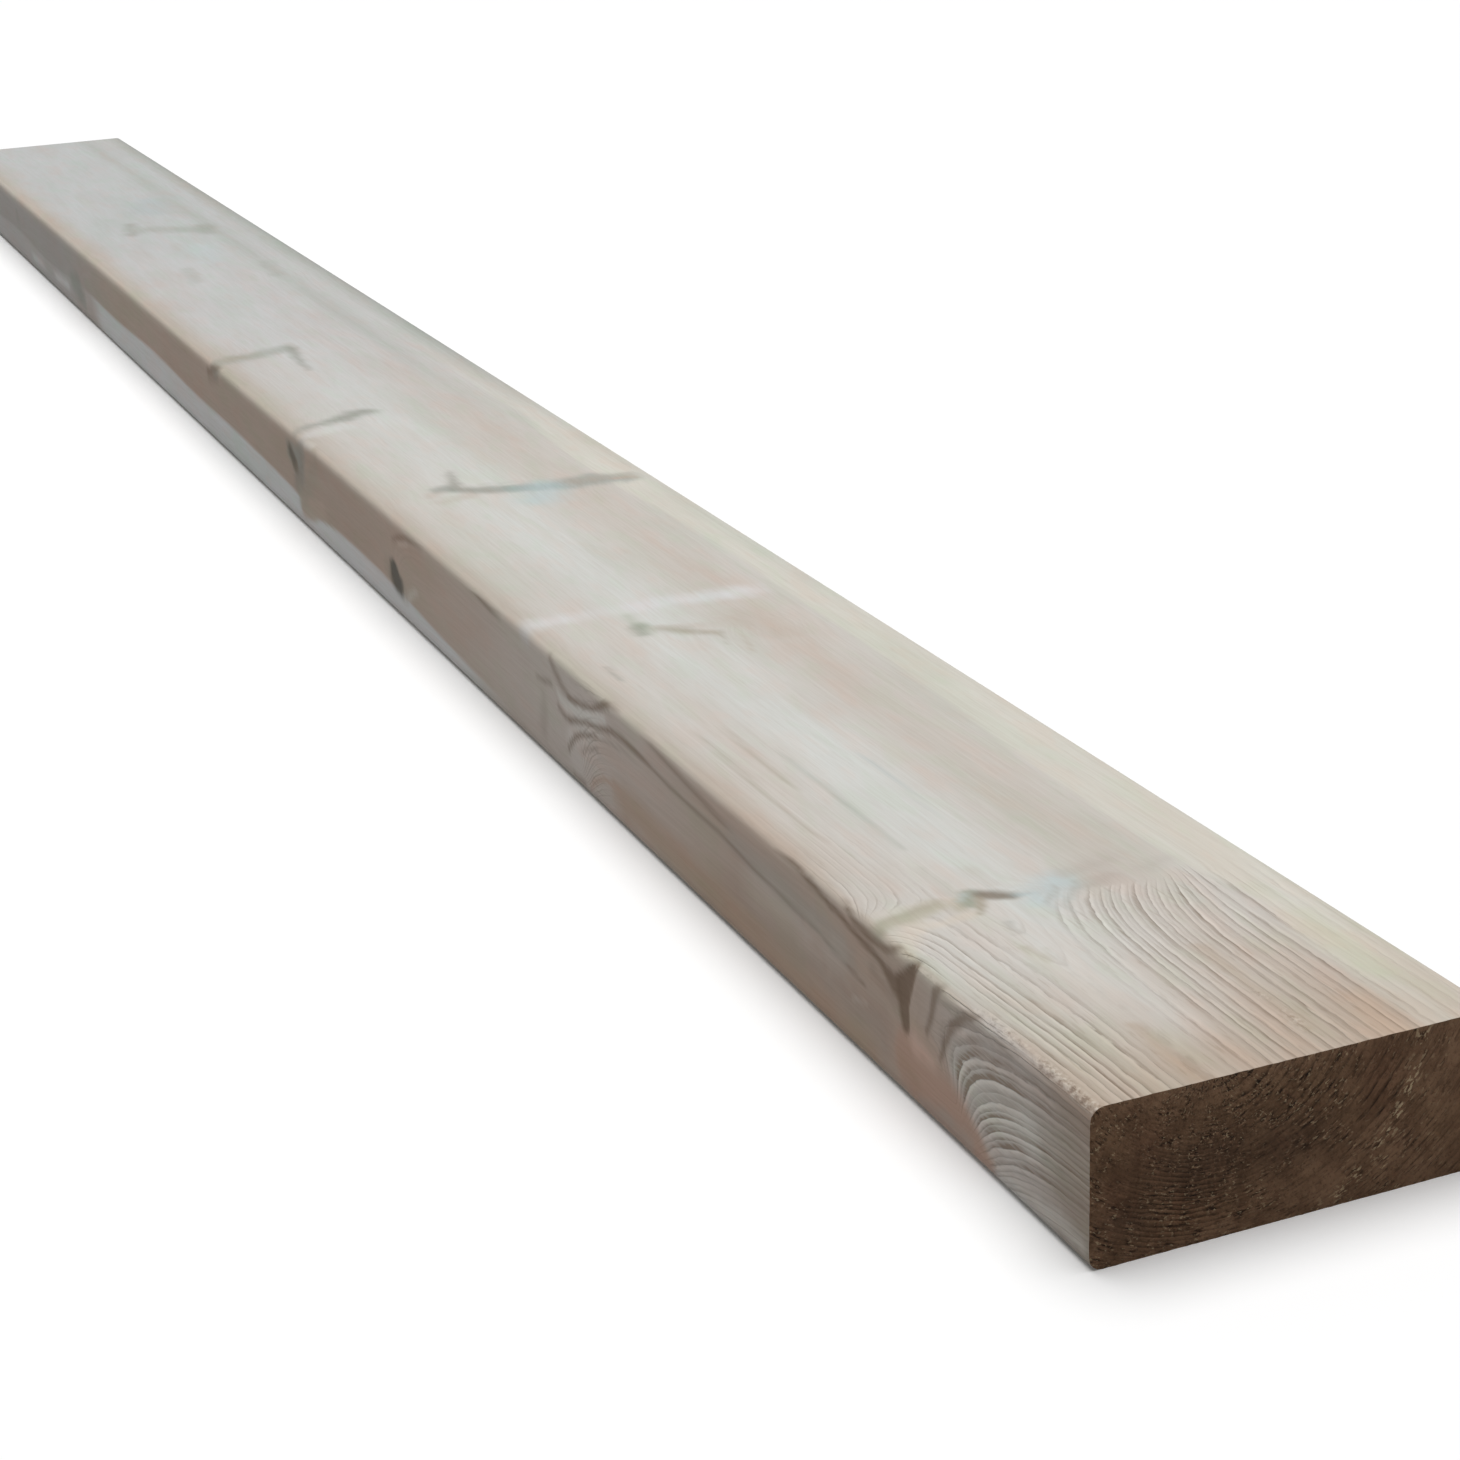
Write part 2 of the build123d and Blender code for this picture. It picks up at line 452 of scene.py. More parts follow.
    (GREY_KNOT, 0.9, 7, (772, 34, 5), (788, 34, 5)),
    (DARK_KNOT, 1.0, 5, (778, 30, 4.5), (786, 34.5, 4.2)),
    (BLACK_KNOT, 0.65, 5, (780, 32, 2.8), (786, 35, 2.8)),
    (OLIVE, 0.6, 7, (773, 20, 3), (774, 10, 2)),
    (CLEAN_EDGE, 0.65, 4, (746, 47, 2.6), (758, 44.5, 2)),
) + on_top(
    (SLATE, 0.95, 13, (942, -2, 6), (947, 14, 8), (952, 28, 7), (957, 42, 7)),
    (KHAKI, 0.6, 12, (944, 2, 6), (949, 14, 5)),
    (GREY_KNOT, 0.9, 6, (901, 41, 0.9), (930, 43, 1.9), (958, 46.5, 3)),
    (GREEN_GREY, 0.3, 6, (955, 46, 2), (968, 48, 2)),
) + on_edge(
    (RESIN, 0.65, 4, (932, 46.5, 1), (948, 43, 2), (962, 38.5, 1.2)),
    (RESIN, 0.35, 8, (940, 40, 3), (958, 37, 4)),
) + on_top(
    # The far whorls
    (SLATE, 0.6, 9, (1170, 43, 3), (1214, 47, 3)),
    (SLATE, 0.65, 10, (1163, 92, 4), (1209, 96, 4)),
    (BLUE_WHITE, 0.5, 20, (1233, 66, 7), (1283, 74, 7)),
    (GREY_KNOT, 0.65, 9, (1352, 42, 4.4), (1394, 48, 4)),
    (SLATE, 0.75, 18, (1368, 54, 11), (1350, 82, 11)),
    (GREY_KNOT, 0.5, 12, (1332, 87, 6), (1360, 91, 5)),
    (BLUE_GREY, 0.4, 26, (1432, 72, 12), (1484, 82, 12)),
) + on_edge(
    (GREY_KNOT, 0.85, 11, (1328, 13, 6), (1345, 17, 10), (1366, 20, 6)),
    (EDGE_SAP, 0.6, 5, (1384, 12, 3), (1426, 11, 3)),
    (EDGE_SAP, 0.55, 5, (1474, 10, 2.4), (1524, 10, 2.4)),
)

# Torn fibre along the arrises and in two spots of the wide face
FRAYED = [
    Mark(None, 1.0, 2.0, 0.55, [(-2, 2.0, 46.4, 1.4), (26, 2.0, 46.4, 1.2), (34, 1.8, 46.4, 0.5)]),
    Mark(None, 0.9, 2.0, 0.45, [(36, 1.8, 46.4, 0.6), (48, 1.9, 46.4, 1.1), (64, 1.6, 46.2, 0.5)]),
    Mark(None, 0.7, 2.0, 0.4, [(80, 0.2, 45, 0.4), (104, 0.4, 45.2, 0.8)]),
    Mark(None, 0.8, 2.0, 0.3, [(12, 72, 47, 0.5), (18, 72.4, 47, 1), (25, 72.6, 47, 0.5)]),
    Mark(None, 0.7, 2.0, 0.3, [(33, 73, 47, 0.5), (38, 73.4, 47, 0.8)]),
    Mark(None, 0.6, 2.0, 0.4, [(-2, 124.8, 44.6, 1), (22, 124.8, 45, 0.5)]),
    Mark(None, 0.6, 2.0, 0.4, [(LENGTH + 2, 0.2, 44.6, 1), (LENGTH - 26, 0.2, 45, 0.5)]),
    Mark(None, 0.6, 2.0, 0.4, [(LENGTH + 2, 124.8, 2.4, 1), (LENGTH - 30, 124.8, 2, 0.5)]),
]
FIBRE_LUMP = 1.7
WAVER = 0.22
WAVER_LUMP = 7.0
FINE_WAVER = 0.6
FINE_WAVER_LUMP = 2.9
END_ROUGHNESS = 0.28
END_LUMP = 3.2
FINE_END_ROUGHNESS = 0.14
FINE_END_LUMP = END_LUMP / 2.3
END_MARGIN = 1e-3
END_FACING = 0.9

# Patches of the sawn ends: a middle across and up, and half a width and a height
DARK_PATCHES = [(34, 22, 22, 11), (58, 22, 15, 9), (12, 12, 10, 7)]
RED_PATCHES = [(8, 18, 6, 10), (17, 32, 6, 9), (88, 36, 8, 16)]
LIGHT_PATCHES = [(24, 46, 30, 5), (60, 47, 30, 4), (40, 2, 40, 4), (70, 7, 16, 9), (92, 12, 12, 13),
                 (110, 36, 16, 16), (108, 4, 20, 8)]
SMOOTH_PATCHES = [(68, 10, 12, 11), (55, 23, 10, 6), (86, 32, 8, 16), (12, 26, 7, 13), (116, 18, 16, 40)]
RIPPLED_PATCHES = [(26, 14, 15, 13)]
ARC_PATCHES = [(47, 43, 12, 9), (63, 37, 13, 12), (88, 30, 8, 14)]
END_STAINS = [(END_RED, 0.7, RED_PATCHES), (END_DARK, 0.9, DARK_PATCHES), (END_LIGHT, 0.9, LIGHT_PATCHES)]
HEART_EDGE = (0, 2.3)
HEART_EDGE_BEGIN = (20, 75)

# The flat sheet of the plank's skin: the long faces in one strip, and the two ends above it
SHEET_GAP = 0.01
STRIP_HEIGHT = 0.85
END_WIDTH = 0.475
END_HEIGHT = 0.115

# What the photograph's camera saw, in metres
CAMERA_PLACE = Vector((1.4461, -0.3783, 0.3871))
CAMERA_FORWARD = Vector((-0.8666, 0.3536, -0.3519))
CAMERA_RIGHT = Vector((0.3908, 0.9197, -0.0381))
CAMERA_LENS = 69.56
CAMERA_SENSOR = 36.0

# Studio
FLOOR_SIZE = 14.0
FLOOR_WHITE = 0.97
FLOOR_BOUNCE = 0.5
FLOOR_GLOW = 0.05
SKY_LEVEL = 0.12
SUN_LEVEL = 2.75
SUN_SPREAD = np.radians(55)
SUN_FROM = Vector((-0.1, 0.0, 1.0))


def ease(begin, full, value):
    """A smooth change from 0 at one place to 1 at another, level past both."""
    share = np.clip((value - begin) / (full - begin), 0, 1)
    return share * share * (3 - 2 * share)


def blend(first, second, share):
    """Passes from one value to another."""
    return first + (second - first) * share


def hill(value, middle, half):
    """A smooth hump of height 1."""
    return np.exp(-(((value - middle) / half) ** 2))


def wander(spot, lump):
    """Smooth random shifts over the plank, in lumps of a given size."""
    return np.array([noise.noise_vector(Vector(place) / lump)[:] for place in zip(*spot)])


# Growth of the tree


def pith_place(along):
    """Where the tree's centre runs, across and up, close to the wide face on top."""
    wave_across, wave_up = (PITH_WAVE * np.sin(along / step) for step in PITH_WAVE_STEPS)
    across = PITH_ACROSS + PITH_DRIFT * ease(*PITH_DRIFT_REACH, along) + wave_across
    up = PITH_UP + PITH_CLIMB * ease(*PITH_CLIMB_REACH, along) + wave_up
    return across, up


def from_pith(spot):
    """How far each place lies from the pith, across and up."""
    pith_across, pith_up = pith_place(spot.along)
    return spot.across - pith_across, spot.up - pith_up


def trunk_radius(spot):
    """The radius of the ring through each place. The rings crowd together below the pith."""
    side, depth = from_pith(spot)
    reach = np.hypot(side, depth)
    toward = LEAN * (side * np.cos(LEAN_BEARING) + depth * np.sin(LEAN_BEARING))
    return (np.sqrt(toward ** 2 + (1 - LEAN ** 2) * reach ** 2) - toward) / (1 - LEAN ** 2)


def bearing(spot):
    """The direction of each place from the pith, in degrees."""
    side, depth = from_pith(spot)
    return np.degrees(np.arctan2(-side, -depth))


def past_heartwood(spot):
    """How far each place lies outside the heartwood."""
    side, depth = from_pith(spot)
    squeeze = 1 - HEART_SQUEEZE * hill(bearing(spot), *HEART_SQUEEZE_BEARING)
    edge = HEART_RADIUS - HEART_TAPER * ease(*HEART_TAPER_REACH, spot.along)
    edge = edge + HEART_WAVE * np.sin(spot.along / HEART_WAVE_STEP)
    edge = edge + sum(height * hill(spot.along, middle, half) for middle, half, height in HEART_BULGES)
    return np.hypot(side, depth) / squeeze - edge


def sapwood(spot):
    """1 in the pale outer wood and 0 in the heartwood."""
    return ease(-HEART_BLUR, HEART_BLUR, past_heartwood(spot))


def beside_branch(branch, spot):
    """A branch's radius, how far a place lies from its middle, how far out and how far ahead of it."""
    pith_across, pith_up = pith_place(np.array(float(branch.pith)))
    root = np.array([branch.pith, pith_across, pith_up])
    run = np.array([branch.along, branch.across, branch.up]) - root
    length = np.linalg.norm(run)
    axis = run / length
    offset = np.stack(spot, -1) - root
    out = offset @ axis
    aside = offset - out[:, None] * axis
    aside[:, 0] /= branch.stretch
    distance = np.linalg.norm(aside, axis=1)
    share = np.clip(out / length, 0, BRANCH_END)
    radius = branch.radius * np.maximum(share, BRANCH_ROOT) ** BRANCH_SWELL
    ahead = -aside[:, 0] / np.maximum(distance, 1e-6)
    return radius, distance, share, ahead


def healed(branch):
    """True for a branch that ends inside the wood."""
    return 0 < branch.across < WIDTH and 0 < branch.up < THICKNESS


def grow(spot):
    """The ring count at each place, swept out along the branches, and each branch's wood."""
    swept = np.zeros(len(spot.along))
    woods = []
    for branch in BRANCHES:
        radius, distance, share, ahead = beside_branch(branch, spot)
        fade = branch.reach * blend(SWEEP_BEHIND, 1, ease(*SWEEP_TURN, ahead))
        gap = np.maximum(distance - SWEEP_CORE * radius, 0)
        held = ease(SWEEP_START, branch.grip, share)
        wood = ease(*KNOT_RIM, distance / radius) * ease(*KNOT_START, share)
        if healed(branch):
            held = held * ease(*SWEEP_HEALED, share)
            wood = wood * ease(*KNOT_HEALED, share)
        swept += (RING_STEP * branch.lift * held * np.exp(-gap / fade)) ** 3
        woods.append(wood)
    near_pith = ease(*PITH_CALM, np.hypot(*from_pith(spot)))
    radius = trunk_radius(spot) - np.cbrt(swept) * near_pith
    return np.interp(radius, RING_EDGES, np.arange(len(RING_EDGES))), woods


# Colour of the planed faces


def mark_strength(mark, points):
    """How strongly a mark shows at each place."""
    shown = np.zeros(len(points))
    for start, stop in zip(mark.path, mark.path[1:]):
        start, stop = np.array(start), np.array(stop)
        run = stop[:3] - start[:3]
        share = np.clip((points - start[:3]) @ run / (run @ run), 0, 1)
        beside = np.linalg.norm(points - start[:3] - share[:, None] * run, axis=1)
        half = blend(start[3], stop[3], share)
        shown = np.maximum(shown, 1 - ease(-mark.soft / 2, mark.soft / 2, beside - half))
    return mark.strength * shown


def mark_shares(marks, spot):
    """The strength of each mark, with edges that waver more the softer they are."""
    places = np.stack(spot, -1)
    drift = wander(spot, WAVER_LUMP) + FINE_WAVER * wander(spot, FINE_WAVER_LUMP)
    return [mark_strength(mark, places + WAVER * mark.soft * drift) for mark in marks]


def lay(tone, colour, strength):
    """Lays one colour over another."""
    return blend(tone, colour, strength[:, None])


def lay_washes(tone, washes, spot):
    """Lays washes of colour along one face."""
    for wash in washes:
        shown = hill(spot.across, wash.across, wash.half) * ease(wash.begin, wash.full, spot.along)
        tone = lay(tone, wash.colour, wash.strength * shown)
    return tone


def on_left_edge(spot):
    """1 on the left-hand edge, whose colour rolls over the arris at the shown end as painted shade."""
    begin = EDGE_BEGIN + ARRIS_SHADE_ROLL * (1 - ease(*ARRIS_LIGHT_REACH, spot.along))
    return ease(EDGE_END, begin, spot.across)


def on_right_edge(spot):
    """1 on the right-hand edge."""
    return ease(WIDTH - EDGE_END, WIDTH - EDGE_BEGIN, spot.across)


def plain_tone(colour, spot):
    """One colour for every place."""
    return np.tile(colour, (len(spot.along), 1))


def wide_tone(spot, sap):
    """The colour of the wide faces without marks."""
    tone = lay_washes(plain_tone(BEIGE, spot), WIDE_WASHES, spot)
    tone = lay(tone, SAPWOOD, SAP_SHARE * sap)
    tone = lay_washes(tone, FAR_WASHES, spot)
    return lay(tone, UNDERSIDE, UNDERSIDE_SHARE * ease(*UNDERSIDE_REACH, spot.up))


def left_tone(spot, sap):
    """The colour of the left-hand edge without marks."""
    tone = lay(plain_tone(EDGE_BROWN, spot), EDGE_PALE, PALE_SHARE * hill(spot.along, *PALE_STRETCH))
    tone = lay_washes(tone, LEFT_WASHES, spot)
    seen = ease(*SAP_SEEN, spot.along) * (1 - SAP_DIMMED * ease(*SAP_DIMS, spot.along))
    tone = lay(tone, EDGE_SAP, SAP_SHARE * sap * seen)
    return lay_washes(tone, LEFT_END_WASHES, spot)


def browned(spot, sap):
    """How much browner and darker the wide face grows towards the shown end."""
    past = ease(*BROWNED_PAST_STOP, spot.along) * ease(*BROWNED_PAST_BEGIN, spot.along)
    share = BROWNED_END * ease(*BROWNED_END_REACH, spot.along) + BROWNED_PAST * past
    strip = hill(spot.across, *CLEAN_STRIP) * ease(*CLEAN_STRIP_BEGIN, spot.along)
    return share * (1 - CLEAN_STRIP_LOSS * strip) * (1 - SAP_BROWNED_LOSS * sap)


def planed_tone(spot, sap, woods, shares):
    """The colour of the planed wood without its grain."""
    tone = lay(wide_tone(spot, sap), END_BROWNING, browned(spot, sap))
    tone = lay(tone, left_tone(spot, sap), on_left_edge(spot))
    # The right-hand edge is sapwood from end to end
    right = lay_washes(plain_tone(SAPWOOD, spot), RIGHT_WASHES, spot)
    tone = lay(tone, right, on_right_edge(spot))
    # Painted highlight: the upper left-hand arris is lightened where it turns to the light
    arris = hill(spot.up, ARRIS_HIGHLIGHT_UP, ARRIS_HIGHLIGHT_HALF + ARRIS_HIGHLIGHT_SPREAD * spot.along) * hill(spot.across, *ARRIS_HIGHLIGHT_ACROSS)
    tone = lay(tone, ARRIS_HIGHLIGHT, ARRIS_HIGHLIGHT_SHARE * arris * ease(*ARRIS_LIGHT_REACH, spot.along))
    for branch, wood in zip(BRANCHES, woods):
        tone = lay(tone, branch.colour, branch.strength * wood)
    for mark, share in zip(MARKS, shares):
        tone = lay(tone, mark.colour, share)
    return tone


def grain_contrast(spot, sap, woods, shares, rings):
    """How plainly the dark lines of the rings show."""
    left = ease(*LEFT_BAND, spot.across)
    near = blend(blend(*END_LINES, left), blend(*WHORL_LINES, left), ease(*WHORL_BEGIN, spot.along))
    past = PAST_LINES * left * ease(*PAST_STOP, spot.along)
    top = FAINT_LINES + near * ease(*WHORL_STOP, spot.along) + past
    top = top * (1 - BLEACHED_LOSS * hill(spot.across, *BLEACHED_STRIP) * ease(*BLEACHED_BEGIN, spot.along))
    top = top * (1 - WORN_LOSS * ease(*WORN_STRIP, spot.across) * ease(*WORN_STOP, spot.along))
    side = (EDGE_LINES + EDGE_LINES_RISE * ease(*EDGE_RISE, spot.along)) * ease(*EDGE_STOP, spot.along)
    side = FAINT_LINES + side + ARCH_LINES * hill(spot.along, *ARCH)
    side = side * (1 - RESIN_LOSS * hill(spot.along, *RESIN_STRETCH) * ease(*RESIN_UP, spot.up))
    shown = blend(top, side, ease(*EDGE_TURN, spot.across))
    hidden = np.maximum(ease(*HIDDEN_UP, spot.up), on_right_edge(spot))
    shown = blend(shown, HIDDEN_LINES, hidden * (1 - on_left_edge(spot)))
    shown = shown * (1 - SAP_LINES_LOSS * sap)
    stains = [share for mark, share in zip(MARKS, shares) if mark.colour is not CLEAN_EDGE]
    for cover in woods + stains:
        shown = shown * (1 - STAIN_LOSS * cover)
    years = np.arange(len(YEARS)) + LATE_WOOD_SHARE
    return shown * np.interp(rings, years, [dark for width, dark in YEARS])


def second_lines(spot):
    """How plainly a second line shows within each year."""
    strip = ease(*SECOND_LEFT, spot.across) * ease(*SECOND_RIGHT, spot.across)
    wide = SECOND_LINES * ease(*SECOND_BEGIN, spot.along) * strip
    return blend(wide, EDGE_SECOND_LINES, on_left_edge(spot))


# The sawn ends


def patch_strength(patches, spot):
    """How far each place lies inside patches of the sawn ends."""
    return np.max([hill(spot.across, across, wide) * hill(spot.up, up, tall)
                   for across, up, wide, tall in patches], axis=0)


def sawn_tone(spot):
    """The colour of the sawn ends without their grain."""
    tone = plain_tone(END_BROWN, spot)
    for colour, strength, patches in END_STAINS:
        tone = lay(tone, colour, strength * patch_strength(patches, spot))
    return tone


# The plank's mesh


def row_places():
    """Where the mesh's cross cuts lie: close at the shown end and round the knots."""
    fine = np.linspace(0, LENGTH, ROW_SAMPLES)
    rows = np.full(len(fine), 1 / PLAIN_ROW)
    for branch in BRANCHES:
        middle = (branch.pith + branch.along) / 2
        near = ease(KNOT_REACH + KNOT_FADE, KNOT_REACH, np.abs(fine - middle))
        rows = np.maximum(rows, near / (KNOT_ROW + KNOT_ROW_GROWTH * fine))
    rows = np.maximum(rows, ease(CLOSE_REACH + CLOSE_FADE, CLOSE_REACH, fine) / CLOSE_ROW)
    counted = np.concatenate([[0], np.cumsum((rows[1:] + rows[:-1]) / 2)])
    return np.interp(np.linspace(0, counted[-1], ROWS + 1), counted, fine)


def run_along(edge):
    """True for an edge that runs from end to end."""
    start, stop = edge.verts
    return abs(start.co.x - stop.co.x) > LENGTH * MM / 2


def cut_across(bm, axis, low, high, count):
    """Cuts the bar by planes at even steps between low and high."""
    normal = Vector([float(index == axis) for index in range(3)])
    for step in range(1, count):
        place = normal * (low + (high - low) * step / count)
        geometry = bm.verts[:] + bm.edges[:] + bm.faces[:]
        bmesh.ops.bisect_plane(bm, geom=geometry, dist=1e-7, plane_co=place, plane_no=normal)


def even_row(vert):
    """Which cross cut a vertex lies on, while the cuts are still evenly spaced."""
    return round((HIGH.x - vert.co.x) / (LENGTH * MM) * ROWS)


def is_end(face):
    """True for a face of the sawn ends."""
    return abs(face.normal.x) > END_FACING


def section_place(vert):
    """A vertex's place on the plank's section, to the micrometre."""
    return round(vert.co.y, 6), round(vert.co.z, 6)


def girth_shares(bm):
    """How far round the section each of its points lies, from the middle of the underside."""
    middle = (HIGH + LOW) / 2
    points = {section_place(vert) for vert in bm.verts if even_row(vert) == 1}
    points = sorted(points, key=lambda point: np.arctan2(middle.y - point[0], point[1] - middle.z))
    steps = [np.hypot(*np.subtract(*pair)) for pair in zip(points, points[1:] + points[:1])]
    gone = np.cumsum(steps) - steps
    return dict(zip(points, gone / sum(steps)))


def lay_flat(bm):
    """Lays the plank's skin out flat, with more of the sheet for the finely cut rows."""
    sheet = bm.loops.layers.uv.new("OFBake")
    girth = girth_shares(bm)
    for face in bm.faces:
        if is_end(face):
            turn = face.normal.x > 0
            left = SHEET_GAP + (0.0 if turn else 0.5)
            for loop in face.loops:
                place = loop.vert.co
                across = (place.y - LOW.y if turn else HIGH.y - place.y) / (WIDTH * MM)
                up = (place.z - LOW.z) / (THICKNESS * MM)
                loop[sheet].uv = (left + END_WIDTH * across, 1 - SHEET_GAP - END_HEIGHT * (1 - up))
            continue
        shares = [girth[section_place(loop.vert)] for loop in face.loops]
        closing = max(shares) - min(shares) > 0.5
        for loop, share in zip(face.loops, shares):
            row = even_row(loop.vert) / ROWS
            share += 1.0 if closing and share < 0.5 else 0.0
            loop[sheet].uv = (SHEET_GAP + (1 - 2 * SHEET_GAP) * row, SHEET_GAP + STRIP_HEIGHT * share)


def plank_bar():
    """The bar with its eased arrises, finely cut."""
    bm = bmesh.new()
    size = Matrix.Diagonal((*(HIGH - LOW), 1))
    bmesh.ops.create_cube(bm, size=1, matrix=Matrix.Translation((HIGH + LOW) / 2) @ size)
    arrises = [edge for edge in bm.edges if run_along(edge)]
    bmesh.ops.bevel(bm, geom=arrises, offset=ARRIS * MM, offset_type="OFFSET", segments=ARRIS_STEPS,
                    profile=0.5, affect="EDGES", material=-1)
    cut_across(bm, 1, LOW.y + ARRIS * MM, HIGH.y - ARRIS * MM, COLUMNS)
    cut_across(bm, 2, LOW.z + ARRIS * MM, HIGH.z - ARRIS * MM, LAYERS)
    within_ends = [edge for edge in bm.edges if all(is_end(face) for face in edge.link_faces)]
    bmesh.ops.subdivide_edges(bm, edges=within_ends, cuts=1, use_grid_fill=True)
    lengthwise = [edge for edge in bm.edges if run_along(edge)]
    bmesh.ops.subdivide_edges(bm, edges=lengthwise, cuts=ROWS - 1)
    bm.normal_update()
    lay_flat(bm)
    places = row_places()
    for vert in bm.verts:
        vert.co.x = HIGH.x - places[even_row(vert)] * MM
    for face in bm.faces:
        face.smooth = True
        face.material_index = int(is_end(face))
    for edge in bm.edges:
        edge.smooth = len({face.material_index for face in edge.link_faces}) == 1
    return bm


def set_numbers(mesh, name, kind, field, values):
    """Keeps one value for each vertex under a name that the materials read."""
    attribute = mesh.attributes.new(name, kind, "POINT")
    attribute.data.foreach_set(field, np.ascontiguousarray(values, np.float32).ravel())


def vertex_vectors(items, field):
    """The places or the normals of a mesh's vertices."""
    numbers = np.zeros(len(items) * 3, np.float32)
    items.foreach_get(field, numbers)
    return numbers.reshape(-1, 3).astype(float)


def wear_down(mesh, place, spot, sunk):
    """Sinks knots and torn fibre and roughens the sawn ends, always inwards."""
    place -= vertex_vectors(mesh.vertex_normals, "vector") * sunk[:, None] * MM
    rough = END_ROUGHNESS * np.abs(wander(spot, END_LUMP)[:, 0])
    rough = rough + FINE_END_ROUGHNESS * np.abs(wander(spot, FINE_END_LUMP)[:, 1])
    place[:, 0] -= np.where(spot.along < END_MARGIN, rough, 0) * MM
    place[:, 0] += np.where(spot.along > LENGTH - END_MARGIN, rough, 0) * MM
    mesh.vertices.foreach_set("co", place.astype(np.float32).ravel())
    mesh.update()


def make_plank():
    """The plank as one mesh that carries its growth and its colour."""
    mesh = bpy.data.meshes.new("timber_plank")
    bm = plank_bar()
    bm.to_mesh(mesh)
    bm.free()
    place = vertex_vectors(mesh.vertices, "co")
    spot = Spot((HIGH.x - place[:, 0]) / MM, (place[:, 1] - LOW.y) / MM, (place[:, 2] - LOW.z) / MM)
    rings, woods = grow(spot)
    sap = sapwood(spot)
    shares = mark_shares(MARKS, spot)
    torn = mark_shares(FRAYED, spot)
    numbers = {
        "ring": rings,
        "bearing": bearing(spot),
        "grain": grain_contrast(spot, sap, woods, shares, rings),
        "second": second_lines(spot),
        "fray": np.max(torn, axis=0),
        "smooth": patch_strength(SMOOTH_PATCHES, spot),
        "rippled": patch_strength(RIPPLED_PATCHES, spot),
        "arced": patch_strength(ARC_PATCHES, spot),
        "heart_edge": hill(past_heartwood(spot), *HEART_EDGE) * ease(*HEART_EDGE_BEGIN, spot.across),
    }
    for name, values in numbers.items():
        set_numbers(mesh, name, "FLOAT", "value", values)
    for name, tone in (("tone", planed_tone(spot, sap, woods, shares)), ("sawn", sawn_tone(spot))):
        set_numbers(mesh, name, "FLOAT_COLOR", "color", np.c_[tone, np.ones(len(tone))])
    fibres = np.abs(wander(spot, FIBRE_LUMP)[:, 0])
    sunk = sum(mark.sunk * share for mark, share in zip(MARKS, shares))
    sunk = sunk + fibres * sum(mark.sunk * share for mark, share in zip(FRAYED, torn))
    wear_down(mesh, place, spot, sunk)
    plank = bpy.data.objects.new("timber_plank", mesh)
    bpy.context.scene.collection.objects.link(plank)
    mesh.materials.append(planed_timber())
    mesh.materials.append(sawn_end())
    return plank


# Materials


# Noise: its scale along three axes, or along two values that the mesh carries and a layer of its own
Texture = namedtuple("Texture", "scale detail roughness", defaults=[2, 0.5])
STREAK = Texture((9.0, 2.6, 0.0), 3)
PRESSED = Texture((34.0, 1.1, 5.0))
FIBRE = Texture((40, 1300, 1300), 3)
DASH = Texture((90, 1100, 1100))
MOTTLE = Texture((13, 42, 42))
TINGE = Texture((9, 55, 55), 1)
BLOTCH = Texture((34, 105, 105))
JITTER = Texture((130, 260, 260), 3)
CURL = Texture((420, 640, 640), 2, 0.6)
GRIT = Texture((900, 900, 900), 3, 0.65)
CLOUD = Texture((130, 130, 130), 3)
LUMP = Texture((210, 210, 210))
TUFT = Texture((3.6, 0.5, 7.0), 2, 0.6)
FLECK = Texture((3.2, 0.2, 0.0), 3, 0.6)
RAYS = Texture((0.2, 0.5, 3.0))

# Where a noise tints the wood: two levels of the noise, the strength at each, and the tint
Tint = namedtuple("Tint", "low high at_low at_high colour")
COOL_TINT = Tint(0.52, 0.7, 0.0, 0.8, (0.95, 0.985, 0.96))
WARM_TINT = Tint(0.3, 0.46, 0.8, 0.0, (0.99, 0.955, 0.935))
GREEN_TINT = Tint(0.52, 0.66, 0.0, 0.5, (0.94, 1.0, 0.94))
PINK_TINT = Tint(0.34, 0.48, 0.5, 0.0, (1.03, 0.96, 0.94))
STREAK_TINT = Tint(0.3, 0.7, 0.25, 0.0, (0.86, 0.83, 0.80))
FIBRE_TINT = Tint(0.3, 0.65, 0.14, 0.0, (0.66, 0.60, 0.54))
MOTTLE_TINT = Tint(0.35, 0.65, 0.2, 0.0, (0.84, 0.81, 0.78))
CLOUD_TINT = Tint(0.38, 0.6, 0.6, 0.0, (0.52, 0.48, 0.45))
GRIT_TINT = Tint(0.34, 0.47, 0.5, 0.0, (0.45, 0.4, 0.36))

# Levels of a noise or of the grain, with the strength at each where it does not run from 0 to 1
LATE_FULL = 0.93
LATE_STOP = (0.945, 1.0, 1.0, 0.0)
EARLY_START = (0.0, 0.06)
EARLY_STOP = (0.1, 0.45, 1.0, 0.0)
PRESSED_LEVELS = (0.36, 0.62, 0.4, 1.0)
BROKEN_LEVELS = (0.32, 0.6, 0.5, 1.0)
DASH_LEVELS = (0.58, 0.7)
DASH_GRAIN = (0.05, 0.4, 0.08, 0.28)
RAISED_LEVELS = (0.5, 0.6)
TORN_LEVELS = (0.36, 0.46, 1.0, 0.0)
RIDGE_GRAIN = (0.0, 0.6)
PLANED_ROUGHNESS = (0, 1, 0.78, 0.62)
RAY_LEVELS = (0.5, 0.68, 0.0, 0.35)
ARC_LUMPS = (0.36, 0.56, 0.3, 1.0)
OPEN_LUMPS = (0.4, 0.62)
PIT_LEVELS = (0.39, 0.47, 1.0, 0.0)
